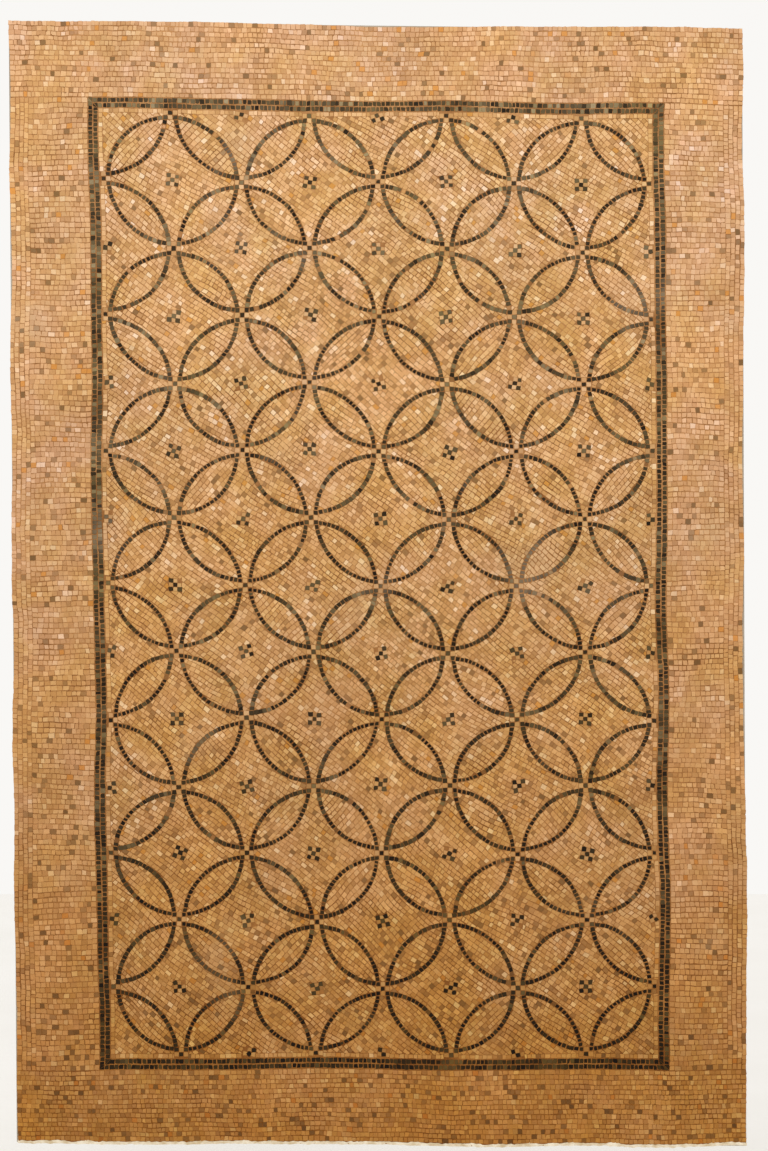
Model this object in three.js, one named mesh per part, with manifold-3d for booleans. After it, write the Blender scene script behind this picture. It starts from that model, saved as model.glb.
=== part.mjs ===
// A mosaic wall panel: a plain light surround, a dark frame line of two rows of stones, and a field
// of crossing circles, whose overlaps make flowers of four petals outlined in dark stones.
//
// Millimetres. X runs to the right and Z up. The face looks along -Y, and the origin is the middle
// of the slab's flat back, at Y = 0. Outlines are drawn in the XZ plane, clockwise as seen from the
// front, and reach back from the face into the panel.

import * as THREE from "three";
import { mergeVertices } from "three/addons/utils/BufferGeometryUtils.js";
import Module from "manifold-3d";

const wasm = await Module();
wasm.setup();

// Driving dimensions.
const SLAB_DEPTH = 40; // mortar slab that carries the stones
const STONE_DEPTH = 12; // layer of stones with its setting mortar
const STONE = 10; // one stone with its joint
const ROW = 11.5; // one row of the dark frame line
const JOINT = 1; // between the zones of stones
const FIT = 0.3; // clearance round an inlaid row of stones
const COLUMNS = 4; // full circles across the field
const ROWS = 7; // full circles up the field
const LINE_WIDTH = 9.6; // dark row that outlines a petal, across the face
const LINE_DEPTH = 9; // from the face to the keel along its outside
const TIP_REACH = 10; // its tip is drawn out by this much into the flower's middle
const EDGE_GAP = 8.5; // from the outermost meeting points to the frame line
const ARC_SIDES = 3; // flat sides to each arc of a petal

// The panel and its frame line were cut and laid by hand, a little out of square.
const PANEL = [corner(-779, 1184), corner(764, 1166), corner(773, -1182), corner(-762, -1174)];
const FRAME = [corner(-611, 1021), corner(601, 1010), corner(611, -1019), corner(-588, -1021)];

// Worked out from those.
const FACE = -(SLAB_DEPTH + STONE_DEPTH);
const FIELD = inset(FRAME, 2 * ROW);
const LATTICE = inset(FIELD, EDGE_GAP);
const ACROSS = LATTICE[0].distanceTo(LATTICE[1]) / COLUMNS;
const DOWN = LATTICE[0].distanceTo(LATTICE[3]) / ROWS;
const PITCH = (ACROSS + DOWN) / 2;
const RADIUS = PITCH / 2 - STONE; // circles, at the middle of their dark row
const HALF_CHORD = PITCH / Math.SQRT2 / 2; // from a circle's centre to the middle of a petal

const MORTAR = stone("#b4aa9a", 0.95);
const LIGHT_STONE = stone("#d0a26f", 0.62);
const FIELD_STONE = stone("#c59863", 0.62);
const DARK_STONE = stone("#54432f", 0.55);

function corner(x, z) {
  return new THREE.Vector2(x, z);
}

function stone(color, roughness) {
  return new THREE.MeshStandardMaterial({ color, roughness, metalness: 0 });
}

// Where the line through a and b meets the line through c and d.
function crossing(a, b, c, d) {
  const along = b.clone().sub(a);
  const other = d.clone().sub(c);
  const share = c.clone().sub(a).cross(other) / along.cross(other);
  return a.clone().addScaledVector(along, share);
}

// A clockwise outline with every edge moved inwards.
function inset(outline, by) {
  const edges = outline.map((a, i) => {
    const b = outline[(i + 1) % outline.length];
    const inwards = new THREE.Vector2(b.y - a.y, a.x - b.x).setLength(by);
    return [a.clone().add(inwards), b.clone().add(inwards)];
  });
  return edges.map((edge, i) => crossing(...edges.at(i - 1), ...edge));
}

// A point of the drawn pattern, in steps of one circle from its top left corner, on the panel.
function onPanel(right, down) {
  const across = right / COLUMNS;
  const top = LATTICE[0].clone().lerp(LATTICE[1], across);
  const bottom = LATTICE[3].clone().lerp(LATTICE[2], across);
  return top.lerp(bottom, down / ROWS);
}

// A plate with this outline, from Y = front back to Y = back.
function plate(outline, front, back) {
  const geometry = new THREE.ExtrudeGeometry(new THREE.Shape(outline), {
    depth: back - front,
    bevelEnabled: false,
  });
  return geometry.rotateX(Math.PI / 2).translate(0, back, 0);
}

function toSolid(geometry) {
  const bare = new THREE.BufferGeometry().setIndex(geometry.index);
  bare.setAttribute("position", geometry.getAttribute("position"));
  const merged = mergeVertices(bare, 1e-3);
  return new wasm.Manifold(
    new wasm.Mesh({
      numProp: 3,
      vertProperties: merged.getAttribute("position").array,
      triVerts: new Uint32Array(merged.index.array),
    }),
  );
}

// The same solid, with one flat face wherever the joins left several side by side.
function merged(solid) {
  return solid.asOriginal().simplify(1e-3);
}

function toGeometry(solid) {
  const { vertProperties, triVerts } = solid.getMesh();
  const geometry = new THREE.BufferGeometry();
  geometry.setAttribute("position", new THREE.BufferAttribute(vertProperties, 3));
  return geometry.setIndex(new THREE.BufferAttribute(triVerts, 1));
}

// The outline of the petal that lies to the right (x = 1) or left (-1) of its flower's middle and
// below (z = 1) or above (-1) it: the overlap of two circles of this radius. Its tip at the flower's
// middle is drawn out by reach.
function petalOutline({ right, down, x, z }, radius, reach) {
  const sweep = Math.acos(HALF_CHORD / radius);
  const outline = [];
  for (const side of [1, -1]) {
    const circle = new THREE.Vector2(-side, side * x * z).setLength(HALF_CHORD);
    const start = circle.angle() + Math.PI + sweep;
    const arc = new THREE.ArcCurve(circle.x, circle.y, radius, start, start - 2 * sweep, true);
    const [tip, ...bend] = arc.getPoints(ARC_SIDES).slice(0, -1);
    if (side === -z) tip.setLength(tip.length() + reach);
    outline.push(tip, ...bend);
  }
  return outline.map((point) => onPanel(right + x / 4 + point.x / PITCH, down + z / 4 + point.y / PITCH));
}

// One closed row of dark stones round a petal: flat at the face and upright outside, with the
// inside sloping back to meet the outside in a keel.
function petalRow(petal, loose) {
  const outside = RADIUS + LINE_WIDTH / 2 + loose;
  const inside = RADIUS - LINE_WIDTH / 2 - loose;
  const rings = [
    petalOutline(petal, outside, TIP_REACH).map((point) => [point.x, FACE, point.y]),
    petalOutline(petal, outside, 0).map((point) => [point.x, FACE + LINE_DEPTH + 2 * loose, point.y]),
    petalOutline(petal, inside, 0).map((point) => [point.x, FACE, point.y]),
  ];
  const count = rings[0].length;
  const index = [];
  rings.forEach((_, ring) => {
    const here = ring * count;
    const next = ((ring + 1) % rings.length) * count;
    for (let i = 0; i < count; i++) {
      const j = (i + 1) % count;
      index.push(here + i, next + i, here + j, here + j, next + i, next + j);
    }
  });
  const geometry = new THREE.BufferGeometry().setIndex(index);
  geometry.setAttribute("position", new THREE.Float32BufferAttribute(rings.flat(2), 3));
  return toSolid(geometry);
}

// The petals round one meeting point, where their tips run into each other.
function flower(right, down, loose = 0) {
  const rows = [];
  for (const x of [-1, 1]) {
    const onField = right + x > -1 && right + x < COLUMNS + 1;
    for (const z of onField ? [-1, 1] : []) rows.push(petalRow({ right, down, x, z }, loose));
  }
  return merged(wasm.Manifold.union(rows));
}

const panel = new THREE.Group();

function addPiece(name, geometry, material) {
  const piece = new THREE.Mesh(geometry, material);
  piece.name = name;
  panel.add(piece);
}

// The slab, with its flat back against the wall.
addPiece("backing_slab", plate(PANEL, -SLAB_DEPTH, 0), MORTAR);

// The light surround, in four bands. The top and bottom ones run through to the panel's sides.
function addSurround() {
  const [topLeft, topRight, bottomRight, bottomLeft] = PANEL;
  const [frameTopLeft, frameTopRight, frameBottomRight, frameBottomLeft] = FRAME;
  const leftHigh = crossing(frameTopLeft, frameTopRight, topLeft, bottomLeft);
  const rightHigh = crossing(frameTopLeft, frameTopRight, topRight, bottomRight);
  const leftLow = crossing(frameBottomLeft, frameBottomRight, topLeft, bottomLeft);
  const rightLow = crossing(frameBottomLeft, frameBottomRight, topRight, bottomRight);
  const bands = {
    top: [topLeft, topRight, rightHigh, leftHigh],
    right: [frameTopRight, rightHigh, rightLow, frameBottomRight],
    bottom: [leftLow, rightLow, bottomRight, bottomLeft],
    left: [leftHigh, frameTopLeft, frameBottomLeft, leftLow],
  };
  for (const [side, outline] of Object.entries(bands)) {
    addPiece("surround_" + side, plate(inset(outline, JOINT / 2), FACE, -SLAB_DEPTH), LIGHT_STONE);
  }
}
addSurround();

// The dark frame line: an outer and an inner row of stones, each in four lengths.
function addFrameLine() {
  ["outer", "inner"].forEach((row, step) => {
    const outside = inset(FRAME, step * ROW);
    const within = inset(FRAME, (step + 1) * ROW);
    ["top", "right", "bottom", "left"].forEach((side, i) => {
      const j = (i + 1) % 4;
      const outline = inset([outside[i], outside[j], within[j], within[i]], JOINT / 2);
      addPiece(`frame_${row}_${side}`, plate(outline, FACE, -SLAB_DEPTH), DARK_STONE);
    });
  });
}
addFrameLine();

// The light field, and the flowers let into it flush. A flower at the field's side has two petals.
function addField() {
  let ground = toSolid(plate(inset(FIELD, JOINT / 2), FACE, -SLAB_DEPTH));
  for (let row = 0; row < ROWS; row++) {
    for (let column = 0; column <= COLUMNS; column++) {
      ground = ground.subtract(flower(column, row + 0.5, FIT));
      addPiece(`flower_row${row + 1}_${column + 1}`, toGeometry(flower(column, row + 0.5)), DARK_STONE);
    }
  }
  addPiece("field_ground", toGeometry(merged(ground)), FIELD_STONE);
}
addField();

export default panel;
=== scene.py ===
"""A mosaic wall panel, laid stone by stone over the CAD part.

Every stone is a closed bevelled block set in a bed of mortar. The bands, the frame line, the field
and the flowers are worked out from the CAD nodes, so that they lie where the solids do. Outlines are
drawn in the XZ plane of the face, in metres.
"""

import math
import random

import bpy
import numpy as np
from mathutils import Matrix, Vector, noise


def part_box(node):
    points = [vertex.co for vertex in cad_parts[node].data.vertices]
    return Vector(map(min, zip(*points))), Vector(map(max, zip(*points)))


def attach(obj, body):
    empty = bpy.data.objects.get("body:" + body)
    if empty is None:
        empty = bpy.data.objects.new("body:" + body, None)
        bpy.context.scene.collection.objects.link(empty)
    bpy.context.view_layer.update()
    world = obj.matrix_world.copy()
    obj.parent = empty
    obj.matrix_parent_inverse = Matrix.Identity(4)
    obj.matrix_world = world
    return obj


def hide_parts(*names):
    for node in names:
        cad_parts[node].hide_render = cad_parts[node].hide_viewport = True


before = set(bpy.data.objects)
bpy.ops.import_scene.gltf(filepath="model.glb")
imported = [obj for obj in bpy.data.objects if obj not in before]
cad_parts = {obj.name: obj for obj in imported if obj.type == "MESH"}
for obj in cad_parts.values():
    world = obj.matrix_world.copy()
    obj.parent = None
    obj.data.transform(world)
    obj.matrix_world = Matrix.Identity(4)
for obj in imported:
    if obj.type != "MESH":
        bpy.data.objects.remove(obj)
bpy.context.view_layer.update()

MM = 0.001

# The pattern, as in the part.
COLUMNS, ROWS = 4, 7  # full circles across and up the field
STONE = 10 * MM
EDGE_GAP = 8 * MM  # from the field's edge to the outermost meeting points
LINE_WIDTH = 8.6 * MM  # dark row round a petal
MARK_STONE = 8.8 * MM  # stone of an X mark, with its joint
ARC_STONES = 19  # between the two tips of a petal, on each side
FRAME_STONE = 9.2 * MM
DARK_JOINT = 0.9 * MM  # between the dark stones of a row
LOOSE_JOINT = 1.6 * MM  # more room round a dark stone, where the row is loosely laid
FOOT_STRIP = 6 * MM  # bare mortar under the bottom course

# Stones.
BEVEL = 0.45 * MM
STONE_DEPTH = 7 * MM
BED_DEPTH = 0.7 * MM  # from the stones' faces to the mortar between them
ROW_JOINT = 1.1 * MM  # between rows
END_JOINT = 0.5 * MM  # between the stones of a row
SMALLEST = 0.16  # share of a whole stone that is still laid
SHORTEST = 2 * MM  # side of a frame stone that still counts as one, at the mitred corners
SLOPES = ((38, 0.0), (31, 3.0), (43, 7.0), (-46, 11.0))  # rows of the ground: degrees, noise seed
IN_PETAL, IN_SQUARE = (5, 2, 3, 1.6), (6, 2, 2, 0)  # how often each slope is used

# Bands.
TOP_COURSES, BOTTOM_COURSES = 15, 15
UPRIGHT_COURSES = 4  # upright rows along the outside of the left and right bands
SIDE_COURSE = 10.9 * MM  # lying rows along the inside of the left and right bands
EDGE_COURSE = 0.95 * STONE  # single row of the ground along the frame line
FIELD_STRIPS = 8  # pieces that the field's ground is made in

# Mortar bed, as a grid.
BED_CELLS = (78, 118)
FOOT_STEPS = 400

# Picture: what the camera sees of the face, and its lens and sensor in millimetres.
VIEW_HEIGHT = 2.417
VIEW_CENTRE = (0.0105, 0.018)
LENS, SENSOR = 90, 36

rng = random.Random(1724)


# ---------------------------------------------------------------- geometry of the face

def corners(node):
    """The four corners of a plate's back: top left, top right, bottom right, bottom left."""
    points = np.array([v.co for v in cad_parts[node].data.vertices])
    back = points[points[:, 1] > points[:, 1].max() - 0.1 * MM][:, [0, 2]]
    back = np.unique(back.round(5), axis=0)
    wide = 0 if np.ptp(back[:, 0]) > np.ptp(back[:, 1]) else 1
    order = back[np.argsort(back[:, wide])]
    first, second = (pair[np.argsort(pair[:, 1 - wide])] for pair in (order[:2], order[2:]))
    if wide == 0:
        return [first[1], second[1], second[0], first[0]]
    return [second[0], second[1], first[1], first[0]]


def crossing(a, b, c, d):
    """Where the line through a and b meets the line through c and d."""
    along, other, gap = b - a, d - c, c - a
    share = (gap[0] * other[1] - gap[1] * other[0]) / (along[0] * other[1] - along[1] * other[0])
    return a + along * share


def inset_corners(quad, by):
    """A clockwise quad with every side moved inwards."""
    sides = []
    for a, b in zip(quad, quad[1:] + quad[:1]):
        inwards = np.array((b[1] - a[1], a[0] - b[0]))
        inwards *= by / np.linalg.norm(inwards)
        sides.append((a + inwards, b + inwards))
    return [crossing(*sides[i - 1], *sides[i]) for i in range(4)]


def on_quad(quad, across, down):
    top = quad[0] + (quad[1] - quad[0]) * across
    bottom = quad[3] + (quad[2] - quad[3]) * across
    return top + (bottom - top) * down


def smooth(x, z, scale, seed):
    """Smooth noise from about -1 to 1, with bumps of about this size in metres."""
    return 1.6 * noise.noise(Vector((x / scale, z / scale, seed)))


def wander(point):
    """The hand-laid lines run a few millimetres off their drawing."""
    x, z = point
    return (
        x + 4.2 * MM * smooth(x, z, 0.26, 3.7) + 0.8 * MM * smooth(x, z, 0.05, 8.1),
        z + 4.2 * MM * smooth(x, z, 0.26, 21.3) + 0.8 * MM * smooth(x, z, 0.05, 34.9),
    )


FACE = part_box("field_ground")[0].y
BED_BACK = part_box("backing_slab")[0].y
PANEL = corners("backing_slab")
FIELD = corners("field_ground")
LATTICE = inset_corners(FIELD, EDGE_GAP)
ACROSS = np.linalg.norm(LATTICE[1] - LATTICE[0]) / COLUMNS
DOWN = np.linalg.norm(LATTICE[3] - LATTICE[0]) / ROWS
PITCH = (ACROSS + DOWN) / 2
RADIUS = PITCH / 2 - STONE
TOP, BOTTOM = PANEL[0][1], PANEL[2][1]


def on_panel(x, y):
    """A point of the drawing, x to the right and y down from its top left circle, on the face."""
    return on_quad(LATTICE, x / PITCH / COLUMNS, y / PITCH / ROWS)


# ---------------------------------------------------------------- materials

def srgb(red, green, blue):
    def linear(c):
        c /= 255
        return c / 12.92 if c <= 0.04045 else ((c + 0.055) / 1.055) ** 2.4
    return (linear(red), linear(green), linear(blue), 1)


SHADED_AND_SOILED = (0.57, 0.42, 0.15, 1)  # what is left of a stone's colour at the panel's foot: partly painted shade from light falling from above, partly browning soil
SHADE_AND_SOIL_POWER = 1.8  # the painted shade and soil grow faster towards the foot
CLEAN = (1, 1, 1, 1)

# Palettes: where on a stone's kind, from 0 to 1, each tone stands.
LIGHT = ((0, (124, 92, 52)), (0.02, (160, 122, 80)), (0.06, (198, 150, 102)), (0.3, (209, 162, 112)),
         (0.65, (216, 171, 122)), (0.93, (224, 182, 136)), (0.98, (236, 203, 166)), (0.988, (210, 146, 74)))
FIELD_LIGHT = ((0, (136, 102, 60)), (0.02, (170, 128, 80)), (0.08, (196, 149, 93)),
               (0.32, (209, 162, 106)), (0.68, (220, 175, 121)), (0.93, (229, 189, 138)),
               (0.975, (242, 214, 176)), (0.988, (206, 148, 74)))
DARK = ((0, (22, 15, 6)), (0.3, (42, 33, 19)), (0.55, (66, 55, 35)), (0.74, (92, 80, 55)),
        (0.88, (122, 108, 78)), (0.95, (118, 82, 46)), (1, (150, 112, 72)))


class Shader:
    """A material's nodes, with a short way to add and join them."""

    def __init__(self, name, roughness, specular=0.25):
        self.material = bpy.data.materials.new(name)
        self.material.use_nodes = True
        self.nodes = self.material.node_tree.nodes
        self.base = self.nodes["Principled BSDF"]
        self.base.inputs["Roughness"].default_value = roughness
        self.base.inputs["Specular IOR Level"].default_value = specular

    def add(self, kind, inputs=(), **settings):
        node = self.nodes.new(kind)
        for key, value in settings.items():
            setattr(node, key, value)
        for name, value in dict(inputs).items():
            if isinstance(value, bpy.types.NodeSocket):
                self.material.node_tree.links.new(value, node.inputs[name])
            else:
                node.inputs[name].default_value = value
        return node

    def link(self, output, name):
        self.material.node_tree.links.new(output, self.base.inputs[name])

    def attribute(self, name):
        return self.add("ShaderNodeAttribute", attribute_name=name).outputs["Fac"]

    def noise(self, scale, detail=3.0):
        place = self.add("ShaderNodeTexCoord").outputs["Object"]
        inputs = {"Vector": place, "Scale": scale, "Detail": detail}
        return self.add("ShaderNodeTexNoise", inputs).outputs["Fac"]

    def ramp(self, factor, stops):
        node = self.add("ShaderNodeValToRGB", {"Fac": factor})
        elements = node.color_ramp.elements
        while len(elements) < len(stops):
            elements.new(1)
        for element, (position, color) in zip(elements, stops):
            element.position = position
            element.color = color
        return node.outputs["Color"]

    def spread(self, factor, low, high):
        inputs = {"Value": factor, "From Min": 0.3, "From Max": 0.7, "To Min": low, "To Max": high}
        return self.add("ShaderNodeMapRange", inputs).outputs["Result"]

    def mix(self, factor, a, b, way="MIX"):
        node = self.add("ShaderNodeMix", data_type="RGBA", blend_type=way)
        sockets = (node.inputs[0], node.inputs[6], node.inputs[7])
        for socket, value in zip(sockets, (factor, a, b)):
            if isinstance(value, bpy.types.NodeSocket):
                self.material.node_tree.links.new(value, socket)
            else:
                socket.default_value = value
        return node.outputs[2]

    def scale_color(self, color, factor):
        node = self.add("ShaderNodeVectorMath", {0: color, "Scale": factor}, operation="SCALE")
        return node.outputs["Vector"]

    def bump(self, height, distance, strength=0.6):
        inputs = {"Height": height, "Distance": distance, "Strength": strength}
        self.link(self.add("ShaderNodeBump", inputs).outputs["Normal"], "Normal")


def stone_material(name, palette, joint, roughness, specular=0.2):
    """Stones of mixed colours, grained, in warmer and paler stretches, browner and darker towards the
    panel's foot (partly painted shade from light above, partly soil) and joint-coloured below their faces."""
    shader = Shader(name, roughness, specular)
    color = shader.ramp(shader.attribute("kind"), [(at, srgb(*tone)) for at, tone in palette])
    color = shader.scale_color(color, shader.attribute("shade"))
    color = shader.scale_color(color, shader.spread(shader.noise(380), 0.93, 1.07))
    color = shader.scale_color(color, shader.spread(shader.noise(1500), 0.95, 1.05))
    for scale, warm, pale in ((3.2, (1.03, 0.99, 0.9, 1), (0.99, 1.0, 1.08, 1)),
                              (13, (0.97, 0.96, 0.84, 1), (1.03, 1.02, 1.14, 1))):
        stretches = shader.ramp(shader.noise(scale, 2.0), [(0.36, warm), (0.64, pale)])
        color = shader.mix(1.0, color, stretches, "MULTIPLY")
    bloom = shader.ramp(shader.noise(4.6, 5.0), [(0.6, (0, 0, 0, 1)), (0.78, (0.4, 0.4, 0.4, 1))])
    color = shader.mix(bloom, color, srgb(214, 188, 160))
    edge = shader.add("ShaderNodeMath", {0: 1.0, 1: shader.attribute("top")}, operation="SUBTRACT")
    color = shader.mix(edge.outputs[0], color, srgb(*joint))
    # darker and browner towards the panel's foot: partly painted shade from light above, partly soil
    soiled = shader.mix(shader.attribute("soil"), CLEAN, SHADED_AND_SOILED)
    shader.link(shader.mix(1.0, color, soiled, "MULTIPLY"), "Base Color")
    shader.link(shader.spread(shader.noise(260), roughness - 0.08, roughness + 0.08), "Roughness")
    shader.bump(shader.noise(900, 4.0), 0.25 * MM)
    return shader.material


def mortar_material(name, tones, scale, gradient=False):
    """Mottled mortar of two tones. With a gradient it browns and darkens towards the panel's foot like the
    stones: partly painted shade from light above, partly soil.
    """
    shader = Shader(name, 0.9, 0.15)
    stops = [(0.35, srgb(*tones[0])), (0.65, srgb(*tones[1]))]
    color = shader.ramp(shader.noise(scale, 6.0), stops)
    color = shader.scale_color(color, shader.spread(shader.noise(scale * 20), 0.9, 1.1))
    if gradient:
        # darker and browner towards the panel's foot: partly painted shade from light above, partly soil
        place = shader.add("ShaderNodeTexCoord").outputs["Object"]
        height = shader.add("ShaderNodeSeparateXYZ", {0: place}).outputs["Z"]
        reach = {"Value": height, "From Min": TOP, "From Max": BOTTOM}
        foot = shader.add("ShaderNodeMapRange", reach).outputs["Result"]
        soil = shader.add("ShaderNodeMath", {0: foot, 1: SHADE_AND_SOIL_POWER}, operation="POWER").outputs[0]
        soiled = shader.mix(soil, CLEAN, SHADED_AND_SOILED)
        color = shader.mix(1.0, color, soiled, "MULTIPLY")
    shader.link(color, "Base Color")
    shader.link(shader.spread(shader.noise(scale * 3), 0.82, 0.96), "Roughness")
    shader.bump(shader.noise(scale * 12, 5.0), 0.6 * MM)
    return shader.material


light_stone = stone_material("light_stone", LIGHT, (176, 122, 76), 0.6)
field_stone = stone_material("field_stone", FIELD_LIGHT, (150, 104, 58), 0.6)
dark_stone = stone_material("dark_stone", DARK, (120, 88, 54), 0.5, 0.1)
bed_mortar = mortar_material("bed_mortar", ((146, 98, 54), (190, 140, 90)), 14, gradient=True)
foot_mortar = mortar_material("foot_mortar", ((206, 186, 150), (240, 230, 208)), 60)
slab_mortar = mortar_material("slab_mortar", ((176, 166, 148), (198, 190, 174)), 6)


# ---------------------------------------------------------------- laying stones

def inset_outline(outline, by):
    """A convex outline, anticlockwise, with every side moved inwards."""
    moved = []
    count = len(outline)
    for i in range(count):
        px, pz = outline[i - 1]
        x, z = outline[i]
        nx, nz = outline[(i + 1) % count]
        ax, az, bx, bz = x - px, z - pz, nx - x, nz - z
        al, bl = math.hypot(ax, az) or 1, math.hypot(bx, bz) or 1
        ax, az, bx, bz = -az / al, ax / al, -bz / bl, bx / bl
        turn = max(0.35, 1 + ax * bx + az * bz)
        moved.append((x + (ax + bx) / turn * by, z + (az + bz) / turn * by))
    return moved


def area(outline):
    total = 0
    for (ax, az), (bx, bz) in zip(outline, outline[1:] + outline[:1]):
        total += ax * bz - bx * az
    return total / 2


class Laying:
    """The stones of one piece. Each has a cell of its own on the piece's map."""

    def __init__(self, name, slot, material, *nodes):
        self.name, self.slot, self.material, self.nodes = name, slot, material, nodes
        self.points, self.faces, self.map, self.owner = [], [], [], []
        self.kind, self.shade, self.soil, self.top = [], [], [], []
        self.count = 0

    def lay(self, outline, kind=None, shade=1.0, jitter=0.38 * MM, chipped=0.22):
        """A stone with this outline, its corners a little off and one of them now and then cut."""
        outline = [(x + rng.gauss(0, jitter), z + rng.gauss(0, jitter)) for x, z in outline]
        if area(outline) < 0:
            outline.reverse()
        if len(outline) == 4 and rng.random() < chipped:
            outline = cut_corner(outline, rng.randrange(4), rng.uniform(0.12, 0.3))
        outline = [wander(p) for p in outline]
        count = len(outline)
        cx = sum(x for x, _ in outline) / count
        cz = sum(z for _, z in outline) / count
        proud, lean_x, lean_z = rng.uniform(-0.2, 0.25) * MM, rng.gauss(0, 0.025), rng.gauss(0, 0.025)

        def depth(x, z):
            return FACE - proud + lean_x * (x - cx) + lean_z * (z - cz)

        face = inset_outline(outline, BEVEL)
        foot = [(cx + (x - cx) * 0.93, cz + (z - cz) * 0.93) for x, z in outline]
        start = len(self.points)
        self.points += [(x, depth(x, z), z) for x, z in face]
        self.points += [(x, depth(x, z) + 1.2 * BEVEL, z) for x, z in outline]
        self.points += [(x, FACE + STONE_DEPTH, z) for x, z in foot]
        reach = max(max(abs(x - cx), abs(z - cz)) for x, z in outline)
        flat = [((x - cx) / reach, (z - cz) / reach) for x, z in outline]
        rings = [[(0.535 + 0.43 * share * x, 0.535 + 0.43 * share * z) for x, z in flat]
                 for share in (0.74, 0.82, 1.0)]
        under = [(0.04 + 0.02 * x, 0.5 + 0.3 * z) for x, z in flat]
        around = range(count)
        self.faces.append([start + i for i in around])
        self.map += rings[0]
        for ring in (0, 1):
            here, there = start + ring * count, start + (ring + 1) * count
            for i in around:
                j = (i + 1) % count
                self.faces.append([here + i, there + i, there + j, here + j])
                self.map += [rings[ring][i], rings[ring + 1][i], rings[ring + 1][j], rings[ring][j]]
        self.faces.append([start + 2 * count + i for i in reversed(around)])
        self.map += under[::-1]
        self.owner += [self.count] * (10 * count)
        self.count += 1
        down = (TOP - cz) / (TOP - BOTTOM)
        if kind is None:
            kind = rng.random() * (0.03 if rng.random() < 0.05 * max(0, down) ** 3 else 1)
            shade += rng.gauss(0, 0.05) * max(0, down) ** 2
        # darker and browner towards the foot: partly painted shade from light above, partly soil, with
        # patches of real dirt
        soil = max(0, down) ** SHADE_AND_SOIL_POWER + 0.07 * smooth(cx, cz, 0.22, 51.0) + rng.gauss(0, 0.03)
        for values, value in ((self.kind, kind), (self.shade, shade), (self.soil, min(max(soil, 0), 1.1))):
            values += [value] * (3 * count)
        self.top += [1.0] * count + [0.55] * count + [0.0] * count

    def piece(self):
        mesh = bpy.data.meshes.new(self.name)
        mesh.from_pydata(self.points, [], self.faces)
        cells = math.ceil(math.sqrt(self.count))
        owner = np.array(self.owner)
        place = (np.array(self.map) + np.stack((owner % cells, owner // cells), 1)) / cells
        layer = mesh.uv_layers.new(name="OFBake")
        layer.data.foreach_set("uv", place.ravel())
        for name in ("kind", "shade", "soil", "top"):
            mesh.attributes.new(name, "FLOAT", "POINT").data.foreach_set("value", getattr(self, name))
        mesh.materials.append(self.material)
        piece = bpy.data.objects.new(self.name, mesh)
        bpy.context.collection.objects.link(piece)
        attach(piece, "root")
        if self.nodes:
            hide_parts(*self.nodes)
        return piece


def cut_corner(outline, which, share):
    (px, pz), (x, z), (nx, nz) = outline[which - 1], outline[which], outline[(which + 1) % len(outline)]
    before = (x + (px - x) * share, z + (pz - z) * share)
    after = (x + (nx - x) * share, z + (nz - z) * share)
    return outline[:which] + [before, after] + outline[which + 1:]


def cuts(length, step, spread):
    """Random cuts along a row, from 0 to 1."""
    count = max(1, round(length / step))
    widths = [rng.uniform(1 - spread, 1 + spread) for _ in range(count)]
    total = sum(widths)
    at = [0.0]
    for width in widths:
        at.append(at[-1] + width / total)
    return at


def patch(x, z, seed):
    """Shade of a stone: its neighbourhood's, and its own."""
    return 1 + 0.05 * smooth(x, z, 0.1, seed) + 0.03 * smooth(x, z, 0.4, seed + 9) + rng.gauss(0, 0.03)


def lay_courses(laying, quad, courses, step=STONE, spread=0.24, seed=0.0, bend=0.19):
    """Rows of stones that run from the quad's first corner to its second, stacked to its last."""
    length = np.linalg.norm(quad[1] - quad[0])
    height = np.linalg.norm(quad[3] - quad[0]) / courses

    def line(k, along):
        at = along * length, k * height
        bow = bend * (smooth(*at, 0.11, seed) + 0.5 * smooth(*at, 0.03, seed + 8))
        return (k + (bow if 0 < k < courses else 0)) / courses

    for k in range(courses):
        at = cuts(length, step * rng.uniform(0.94, 1.06), spread)
        for a, b in zip(at, at[1:]):
            wide = max(0.35, 1 + 0.8 * smooth(a * length, k * height, 0.05, seed + 5))
            gap, row = END_JOINT * wide / length / 2, ROW_JOINT * wide / height / courses / 2
            slant = rng.gauss(0, 0.25 * MM) / length
            outline = [on_quad(quad, a + gap + slant, line(k, a) + row),
                       on_quad(quad, b - gap + slant, line(k, b) + row),
                       on_quad(quad, b - gap - slant, line(k + 1, b) - row),
                       on_quad(quad, a + gap - slant, line(k + 1, a) - row)]
            x, z = outline[0]
            laying.lay([tuple(p) for p in outline], shade=patch(x, z, seed))


# ---------------------------------------------------------------- surround and frame line

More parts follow.
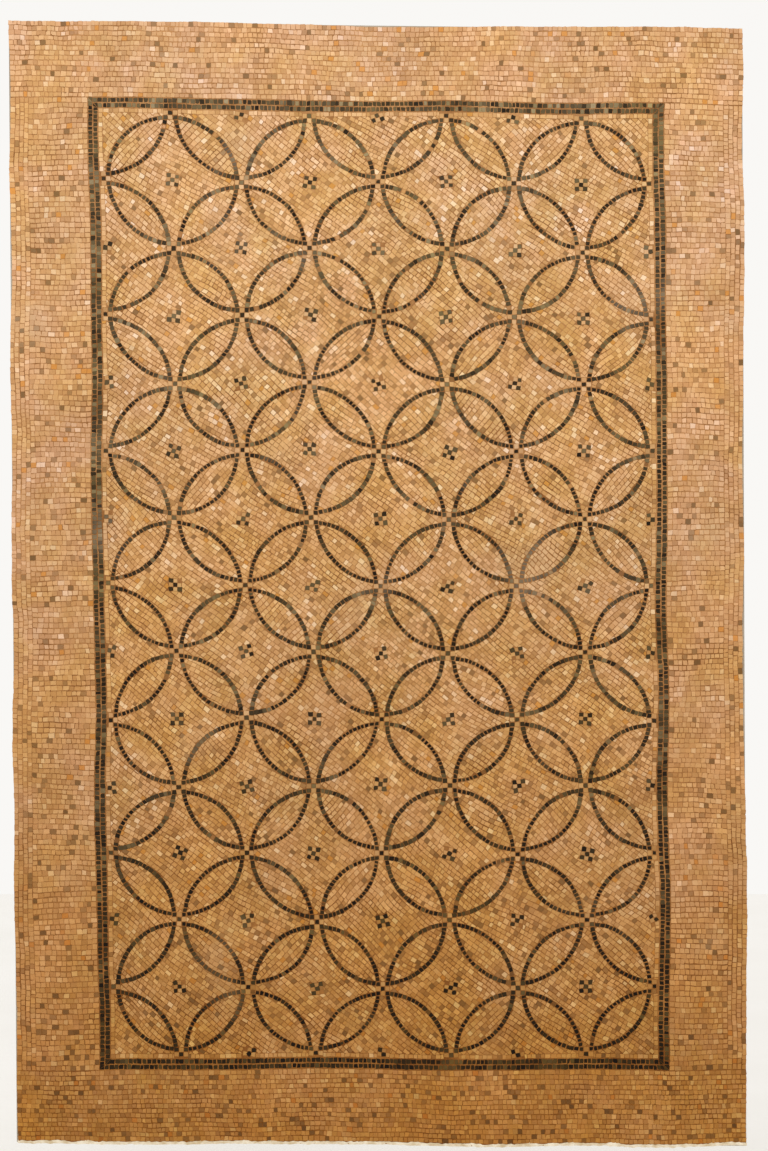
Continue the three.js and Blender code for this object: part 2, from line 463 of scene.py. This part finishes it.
def lay_surround():
    """Lying courses in the top and bottom bands. The side bands have upright ones along the outside."""
    sides = ("top", "right", "bottom", "left")
    top, right, bottom, left = (corners("surround_" + side) for side in sides)

    def band(side):
        return Laying(f"surround_{side}_stones", "light_stone", light_stone, f"surround_{side}")

    laying = band("top")
    lay_courses(laying, top, TOP_COURSES, seed=1.1)
    laying.piece()
    laying = band("bottom")
    bottom[2:] = [corner + np.array((0, FOOT_STRIP)) for corner in bottom[2:]]
    lay_courses(laying, bottom, BOTTOM_COURSES, seed=2.2)
    laying.piece()
    for side, quad in (("left", left), ("right", right)):
        laying = band(side)
        width = (np.linalg.norm(quad[1] - quad[0]) + np.linalg.norm(quad[2] - quad[3])) / 2
        upright = UPRIGHT_COURSES * STONE / width
        cut = upright if side == "left" else 1 - upright
        high, low = on_quad(quad, cut, 0), on_quad(quad, cut, 1)
        outer = [quad[0], high, low, quad[3]] if side == "left" else [high, quad[1], quad[2], low]
        inner = [high, quad[1], quad[2], low] if side == "left" else [quad[0], high, low, quad[3]]
        turned = [outer[3], outer[0], outer[1], outer[2]]
        lay_courses(laying, turned, UPRIGHT_COURSES, step=1.04 * STONE, seed=3.3)
        tall = np.linalg.norm(inner[3] - inner[0])
        lay_courses(laying, inner, round(tall / SIDE_COURSE), step=1.05 * STONE, seed=4.4)
        laying.piece()


def square_cuts(quad, at):
    """Cuts straight across a strip with mitred ends: a point on each of its long edges."""
    along = quad[1] - quad[0]
    along /= np.linalg.norm(along)
    low = min(along @ quad[0], along @ quad[3])
    high = max(along @ quad[1], along @ quad[2])
    pairs = []
    for share in at:
        place = low + (high - low) * share
        ends = []
        for a, b in ((quad[0], quad[1]), (quad[3], quad[2])):
            reach = min(max((place - along @ a) / (along @ (b - a)), 0), 1)
            ends.append(a + (b - a) * reach)
        pairs.append(ends)
    return pairs


def lay_frame_line():
    """Two rows of dark stones, each in four lengths. The left and right ones are laid upwards."""
    for row in ("outer", "inner"):
        for side in ("top", "right", "bottom", "left"):
            node = f"frame_{row}_{side}"
            quad = corners(node)
            if side in ("left", "right"):
                quad = [quad[3], quad[0], quad[1], quad[2]]
            laying = Laying(node + "_stones", "dark_stone", dark_stone, node)
            pairs = square_cuts(quad, cuts(np.linalg.norm(quad[1] - quad[0]), FRAME_STONE, 0.24))
            for (a, d), (b, c) in zip(pairs, pairs[1:]):
                outline = [tuple(a), tuple(b), tuple(c), tuple(d)]
                if np.linalg.norm(a - b) < SHORTEST:
                    outline.remove(tuple(b))
                elif np.linalg.norm(c - d) < SHORTEST:
                    outline.remove(tuple(c))
                lay_darkly(laying, outline, loosest=0.55, palest=0.85)
            laying.piece()


def looseness(x, z):
    """How loosely a row of dark stones is laid, from 0 to 1: it goes in stretches."""
    return min(max(0.55 + 0.75 * smooth(x, z, 0.08, 77.0) + 0.35 * smooth(x, z, 0.35, 79.0), 0), 1)


def lay_darkly(laying, outline, loosest=1.0, palest=1.0):
    """A dark stone in its place with the joint round it. Loosely laid ones are nearly black, and the others
    grey and brown. They are greyer and lighter towards the panel's head: partly painted light from above,
    partly a greyer tone."""
    x, z = outline[0]
    loose = loosest * looseness(x, z)
    cx, cz = sum(x for x, _ in outline) / len(outline), sum(z for _, z in outline) / len(outline)
    slack = (DARK_JOINT + LOOSE_JOINT * loose) / STONE
    if len(outline) == 4:
        outline = [(cx + (x - cx) * (1 - slack), cz + (z - cz) * (1 - slack)) for x, z in outline]
    down = (TOP - z) / (TOP - BOTTOM)
    kind = rng.gauss(0.62 - 0.4 * loose, 0.17) if rng.random() < 0.85 else rng.uniform(0.1, 1)
    kind = min(max(kind, 0), palest)
    # lighter towards the panel's head: partly painted light from above, partly a greyer tone
    laying.lay(outline, kind, rng.uniform(0.85, 1.15) * (2.0 - 1.25 * down), 0.45 * MM, 0.5)


# ---------------------------------------------------------------- the field

ROUND = [(c + 0.5, r + 0.5) for c in range(COLUMNS) for r in range(ROWS)]
ROUND += [(c, r) for c in range(COLUMNS + 1) for r in range(ROWS + 1)]
MARKED = [(c, r) for c, r in ROUND if c not in (0, COLUMNS) or r not in (0, ROWS)]
TURN = {mark: rng.gauss(0, 0.16) for mark in MARKED}  # how far each X mark is askew
MEETING = [(c, r + 0.5) for c in range(COLUMNS + 1) for r in range(ROWS)]
CROSSING = [(c + 0.5, r) for c in range(COLUMNS) for r in range(ROWS + 1)]
MARGIN = (EDGE_GAP * PITCH / ACROSS, EDGE_GAP * PITCH / DOWN)
WIDE, TALL = COLUMNS * PITCH, ROWS * PITCH


def near(points, x, y, reach):
    return [(a, b) for a, b in points if abs(a * PITCH - x) < reach and abs(b * PITCH - y) < reach]


def clip(outline, nx, ny, limit):
    """What is left of a convex outline where nx * x + ny * y is at least this limit."""
    kept = []
    for (ax, ay), (bx, by) in zip(outline, outline[1:] + outline[:1]):
        a, b = nx * ax + ny * ay - limit, nx * bx + ny * by - limit
        if a >= 0:
            kept.append((ax, ay))
        if (a < 0) != (b < 0):
            share = a / (a - b)
            kept.append((ax + (bx - ax) * share, ay + (by - ay) * share))
    return kept


def middle(outline):
    return (sum(x for x, _ in outline) / len(outline), sum(y for _, y in outline) / len(outline))


def round_square(outline, cx, cy, half, turn):
    """The outline cut back to the side of a turned square where most of it lies."""
    x, y = middle(outline)
    c, s = math.cos(turn), math.sin(turn)
    ways = ((c, s), (-c, -s), (-s, c), (s, -c))
    nx, ny = max(ways, key=lambda way: way[0] * (x - cx) + way[1] * (y - cy))
    return clip(outline, nx, ny, nx * cx + ny * cy + half)


def round_circle(outline, cx, cy):
    """The outline's parts outside and inside the dark row of a circle."""
    x, y = middle(outline)
    away = math.hypot(x - cx, y - cy)
    nx, ny = (x - cx) / away, (y - cy) / away
    at = nx * cx + ny * cy
    half = LINE_WIDTH / 2 + 0.5 * END_JOINT
    return [clip(outline, nx, ny, at + RADIUS + half), clip(outline, -nx, -ny, half - at - RADIUS)]


def field_parts(outline):
    """What the drawing leaves of one ground stone."""
    x, y = middle(outline)
    for a, b in near(MARKED + MEETING + CROSSING, x, y, 2.4 * STONE):
        half = 1.5 * (MARK_STONE if (a, b) in TURN else STONE) + END_JOINT / 2
        outline = round_square(outline, a * PITCH, b * PITCH, half, TURN.get((a, b), 0))
        if len(outline) < 3:
            return []
    parts = [outline]
    for a, b in near(ROUND, x, y, RADIUS + STONE):
        cx, cy = a * PITCH, b * PITCH
        if abs(math.hypot(x - cx, y - cy) - RADIUS) < 1.3 * STONE:
            parts = [half for part in parts for half in round_circle(part, cx, cy) if len(half) > 2]
    return [part for part in parts if abs(area(part)) > SMALLEST * STONE ** 2]


def region(x, y):
    """The petal or the curved square that a point lies in."""
    key = []
    for cx, cy in ((math.floor(x / PITCH) + 0.5, math.floor(y / PITCH) + 0.5),
                   (round(x / PITCH), round(y / PITCH))):
        inside = math.hypot(x - cx * PITCH, y - cy * PITCH) < RADIUS
        key.append((cx, cy) if inside else None)
    return tuple(key)


def strip(x):
    return min(max(int(x / WIDE * FIELD_STRIPS), 0), FIELD_STRIPS - 1)


def lay_parts(grounds, outline, number=None):
    """A ground stone, less what the drawing takes off it, and only where its slope is used."""
    for part in field_parts(outline):
        x, y = middle(part)
        if number is None or slope_of(region(x, y)) == number:
            stone = [tuple(on_panel(*p)) for p in part]
            grounds[strip(x)].lay(stone, shade=patch(*stone[0], 61.0))


chosen = {}


def slope_of(key):
    """Which slope the rows have in this petal or curved square."""
    if key not in chosen:
        petal = key[0] and key[1]
        chosen[key] = rng.choices(range(len(SLOPES)), IN_PETAL if petal else IN_SQUARE)[0]
    return chosen[key]


def lay_edges(grounds, box):
    """A single course along each side of the field, beside the frame line."""
    joint, gap = ROW_JOINT / 2, END_JOINT / 2
    for y0, y1 in ((box[1], box[1] + EDGE_COURSE), (box[3] - EDGE_COURSE, box[3])):
        at = [box[0] + (box[2] - box[0]) * share for share in cuts(WIDE, STONE, 0.25)]
        for a, b in zip(at, at[1:]):
            lay_parts(grounds, [(a + gap, y0 + joint), (b - gap, y0 + joint),
                                (b - gap, y1 - joint), (a + gap, y1 - joint)])
    for x0, x1 in ((box[0], box[0] + EDGE_COURSE), (box[2] - EDGE_COURSE, box[2])):
        low, high = box[1] + EDGE_COURSE, box[3] - EDGE_COURSE
        at = [low + (high - low) * share for share in cuts(high - low, STONE, 0.25)]
        for a, b in zip(at, at[1:]):
            lay_parts(grounds, [(x0 + joint, a + gap), (x1 - joint, a + gap),
                                (x1 - joint, b - gap), (x0 + joint, b - gap)])


def bent(x, y, seed):
    """A point of a straight row, moved to where the hand-laid row runs."""
    return (x + 9 * MM * smooth(x, y, 0.3, seed + 1) + 2.2 * MM * smooth(x, y, 0.05, seed),
            y + 9 * MM * smooth(x, y, 0.3, seed + 2) + 2.2 * MM * smooth(x, y, 0.05, seed + 5))


def lay_ground(grounds):
    """Edge courses beside the frame line, and sloping rows in the rest of the field."""
    mx, my = MARGIN
    box = (-mx, -my, WIDE + mx, TALL + my)
    lay_edges(grounds, box)
    inner = (box[0] + EDGE_COURSE, box[1] + EDGE_COURSE, box[2] - EDGE_COURSE, box[3] - EDGE_COURSE)
    sides = ((1, 0, inner[0]), (-1, 0, -inner[2]), (0, 1, inner[1]), (0, -1, -inner[3]))
    reach = math.hypot(WIDE, TALL) / 2 + STONE

    for number, (slope, seed) in enumerate(SLOPES):
        turn = math.radians(slope)
        ux, uy = math.cos(turn), math.sin(turn)

        def turned(a, b):
            return WIDE / 2 + ux * a - uy * b, TALL / 2 + uy * a + ux * b

        t = -reach
        while t < reach:
            height = STONE * rng.uniform(0.86, 1.06)
            s = -reach - rng.random() * STONE
            while s < reach:
                width = STONE * rng.uniform(0.74, 1.26)
                x, y = turned(s, t)
                if inner[0] - STONE < x < inner[2] + STONE and inner[1] - STONE < y < inner[3] + STONE:
                    wide = max(0.35, 1 + 0.8 * smooth(x, y, 0.05, seed + 40))
                    g, r = END_JOINT / 2 * wide, ROW_JOINT / 2 * wide
                    stone = ((s + g, t + r), (s + width - g, t + r),
                             (s + width - g, t + height - r), (s + g, t + height - r))
                    outline = [bent(*turned(a, b), seed) for a, b in stone]
                    for side in sides:
                        outline = clip(outline, *side) if outline else outline
                    if len(outline) > 2:
                        lay_parts(grounds, outline, number)
                s += width
            t += height


def on_field(x, y):
    mx, my = MARGIN
    spare = 0.3 * STONE
    return -mx < x - spare and x + spare < WIDE + mx and -my < y - spare and y + spare < TALL + my


def small_square(cx, cy, size, turn=0.0):
    """A stone's outline in the drawing, kept on the field."""
    mx, my = MARGIN
    half = size / 2
    c, s = math.cos(turn), math.sin(turn)
    outline = [(cx + c * x - s * y, cy + s * x + c * y)
               for x, y in ((-half, -half), (half, -half), (half, half), (-half, half))]
    return [(min(max(x, END_JOINT - mx), WIDE + mx - END_JOINT),
             min(max(y, END_JOINT - my), TALL + my - END_JOINT)) for x, y in outline]


def around(a, b, dx, dy, step):
    """A place beside a mark or a meeting point, in steps of one stone along its own sides."""
    turn = TURN.get((a, b), 0)
    c, s = math.cos(turn), math.sin(turn)
    return a * PITCH + step * (c * dx - s * dy), b * PITCH + step * (s * dx + c * dy), turn


def lay_arms(grounds):
    """The four light stones between the five dark ones, at each meeting, crossing and X mark."""
    for a, b in MEETING + CROSSING + MARKED:
        step = MARK_STONE if (a, b) in TURN else STONE
        for dx, dy in ((1, 0), (-1, 0), (0, 1), (0, -1)):
            x, y, turn = around(a, b, dx, dy, step)
            if on_field(x, y):
                outline = [tuple(on_panel(*p)) for p in small_square(x, y, step - END_JOINT, turn)]
                grounds[strip(x)].lay(outline, rng.uniform(0.03, 0.9), 0.9 * patch(*outline[0], 71.0))


def lay_dark(laying, x, y, size=STONE, turn=0.0, **limits):
    if on_field(x, y):
        lay_darkly(laying, [tuple(on_panel(*p)) for p in small_square(x, y, size, turn)], **limits)


def lay_marks():
    """X marks in the middles of the circles, and the dark stones at their upper and lower crossings."""
    laying = Laying("marks", "dark_stone", dark_stone)
    for a, b in CROSSING:
        lay_dark(laying, a * PITCH, b * PITCH)
    for a, b in MARKED:
        missing = rng.choice((None, None, None, 0, 1, 2, 3))
        for i, (dx, dy) in enumerate(((1, 1), (1, -1), (-1, 1), (-1, -1), (0, 0))):
            if i != missing:
                x, y, turn = around(a, b, dx, dy, MARK_STONE)
                size = MARK_STONE * rng.uniform(1.05, 1.3)
                lay_dark(laying, x, y, size, turn + rng.gauss(0, 0.2), loosest=0.5, palest=0.7)
    laying.piece()


def lay_flowers():
    """Single rows of dark stones round the petals of each flower."""
    tip = math.asin(STONE / RADIUS)
    start = tip + 0.52 * STONE / RADIUS
    for row in range(ROWS):
        for column in range(COLUMNS + 1):
            node = f"flower_row{row + 1}_{column + 1}"
            laying = Laying(node + "_stones", "dark_stone", dark_stone, node)
            x, y = column * PITCH, (row + 0.5) * PITCH
            lay_dark(laying, x, y)
            for dx in (-1, 1):
                if not 0 < x + dx * PITCH / 4 < WIDE:
                    continue
                for dy in (-1, 1):
                    lay_dark(laying, x + dx * STONE, y + dy * STONE)
                    lay_dark(laying, x + dx * (PITCH / 2 - STONE), y + dy * (PITCH / 2 - STONE))
                    for cx, cy, first in ((x + dx * PITCH / 2, y, math.atan2(0, -dx)),
                                          (x, y + dy * PITCH / 2, math.atan2(-dy, 0))):
                        lay_arc(laying, cx, cy, first, start, dx, dy)
            laying.piece()


def lay_arc(laying, cx, cy, first, start, dx, dy):
    """A quarter of a circle, from the flower's middle to the petal's far tip."""
    other = math.atan2(dy, 0) if abs(math.cos(first)) > 0.5 else math.atan2(0, dx)
    turn = math.remainder(other - first, 2 * math.pi)
    sweep = abs(turn) - 2 * start
    way = math.copysign(1, turn)
    at = cuts(sweep * RADIUS, sweep * RADIUS / ARC_STONES, 0.2)
    for a, b in zip(at, at[1:]):
        width = (LINE_WIDTH + 2 * DARK_JOINT) * rng.uniform(0.86, 1.06)
        outline = []
        for share, side in ((a, -1), (b, -1), (b, 1), (a, 1)):
            angle = first + way * (start + sweep * share)
            radius = RADIUS + side * width / 2
            outline.append((cx + radius * math.cos(angle), cy + radius * math.sin(angle)))
        lay_darkly(laying, [tuple(on_panel(*p)) for p in outline])


def lay_field():
    grounds = [Laying(f"field_stones_{i + 1}", "field_stone", field_stone, "field_ground")
               for i in range(FIELD_STRIPS)]
    lay_ground(grounds)
    lay_arms(grounds)
    for ground in grounds:
        ground.piece()
    lay_marks()
    lay_flowers()


# ---------------------------------------------------------------- mortar

def make_bed():
    """The setting mortar under and between all the stones: one closed sheet."""
    across, down = BED_CELLS
    quad = inset_corners(PANEL, 1.5 * MM)
    points, faces = [], []
    for y in (FACE + BED_DEPTH, BED_BACK):
        for j in range(down + 1):
            for i in range(across + 1):
                x, z = wander(on_quad(quad, i / across, j / down))
                points.append((x, y, z))
    layer = (across + 1) * (down + 1)
    for j in range(down):
        for i in range(across):
            a = j * (across + 1) + i
            b = a + across + 1
            faces.append((a, b, b + 1, a + 1))
            faces.append((layer + a, layer + a + 1, layer + b + 1, layer + b))
    rim = list(range(across))
    rim += [j * (across + 1) + across for j in range(down)]
    rim += [down * (across + 1) + i for i in range(across, 0, -1)]
    rim += [j * (across + 1) for j in range(down, 0, -1)]
    for a, b in zip(rim, rim[1:] + rim[:1]):
        faces.append((a, b, layer + b, layer + a))
    add_plain("setting_bed", points, faces, bed_mortar)


def make_foot():
    """The strip of mortar left bare under the bottom course, with a crumbled upper edge."""
    low_left, low_right = PANEL[3], PANEL[2]
    steps = FOOT_STEPS
    points, faces = [], []
    for i in range(steps + 1):
        share = i / steps
        x, z = wander(low_left + (low_right - low_left) * share)
        rise = FOOT_STRIP * (1.05 + 0.35 * smooth(x, 0, 0.03, 91.0) + 0.25 * smooth(x, 0, 0.008, 92.0))
        sag = FOOT_STRIP * 0.2 * smooth(x, 0, 0.012, 93.0)
        swell = 0.4 * MM * smooth(x, 0, 0.01, 94.0)
        points += [(x, FACE + 0.1 * MM + swell, z + rise), (x, FACE + 0.5 * MM + swell, z + sag),
                   (x, BED_BACK, z + sag), (x, BED_BACK, z + rise)]
    for i in range(steps):
        here, there = 4 * i, 4 * i + 4
        for k in range(4):
            m = (k + 1) % 4
            faces.append((here + k, here + m, there + m, there + k))
    faces += [(3, 2, 1, 0), tuple(4 * steps + k for k in range(4))]
    add_plain("foot_strip", points, faces, foot_mortar)


def add_plain(name, points, faces, material):
    """A piece of mortar."""
    mesh = bpy.data.meshes.new(name)
    mesh.from_pydata(points, [], faces)
    mesh.materials.append(material)
    piece = bpy.data.objects.new(name, mesh)
    bpy.context.collection.objects.link(piece)
    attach(piece, "root")


def dress_slab():
    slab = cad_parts["backing_slab"]
    slab.data.materials.clear()
    slab.data.materials.append(slab_mortar)


# ---------------------------------------------------------------- floor, light and camera

def plane_piece(name, size, place, material):
    bpy.ops.mesh.primitive_plane_add(size=size, location=place)
    plane = bpy.context.object
    plane.name = name
    plane.data.materials.append(material)


def area_light(name, place, target, size, power):
    light = bpy.data.lights.new(name, "AREA")
    light.shape = "DISK"
    light.size = size
    light.energy = power
    lamp = bpy.data.objects.new(name, light)
    lamp.location = place
    lamp.rotation_euler = (Vector(target) - Vector(place)).to_track_quat("-Z", "Y").to_euler()
    bpy.context.collection.objects.link(lamp)


def set_stage():
    floor = Shader("floor", 0.9, 0.1)
    tones = [(0.3, srgb(248, 246, 242)), (0.7, srgb(253, 251, 248))]
    floor.link(floor.ramp(floor.noise(1.5), tones), "Base Color")
    plane_piece("floor", 14, (0, 0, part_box("backing_slab")[0].z - 0.25), floor.material)
    world = bpy.data.worlds.new("studio")
    world.use_nodes = True
    backdrop = world.node_tree.nodes["Background"]
    backdrop.inputs["Color"].default_value = (1.0, 0.985, 0.96, 1)
    backdrop.inputs["Strength"].default_value = 0.95
    scene = bpy.context.scene
    scene.world = world
    scene.view_settings.view_transform = "Standard"
    area_light("key", (-0.4, -3.4, 3.0), (0, 0, 0.2), 1.8, 40)


def set_camera():
    camera = bpy.data.cameras.new("camera")
    camera.sensor_fit = "VERTICAL"
    camera.sensor_height = SENSOR
    camera.lens = LENS
    away = VIEW_HEIGHT / 2 * LENS / (SENSOR / 2)
    view = bpy.data.objects.new("camera", camera)
    view.location = (VIEW_CENTRE[0], FACE - away, VIEW_CENTRE[1])
    view.rotation_euler = (math.pi / 2, 0, 0)
    bpy.context.collection.objects.link(view)
    bpy.context.scene.camera = view


lay_surround()
lay_frame_line()
lay_field()
make_bed()
make_foot()
dress_slab()
set_stage()
set_camera()
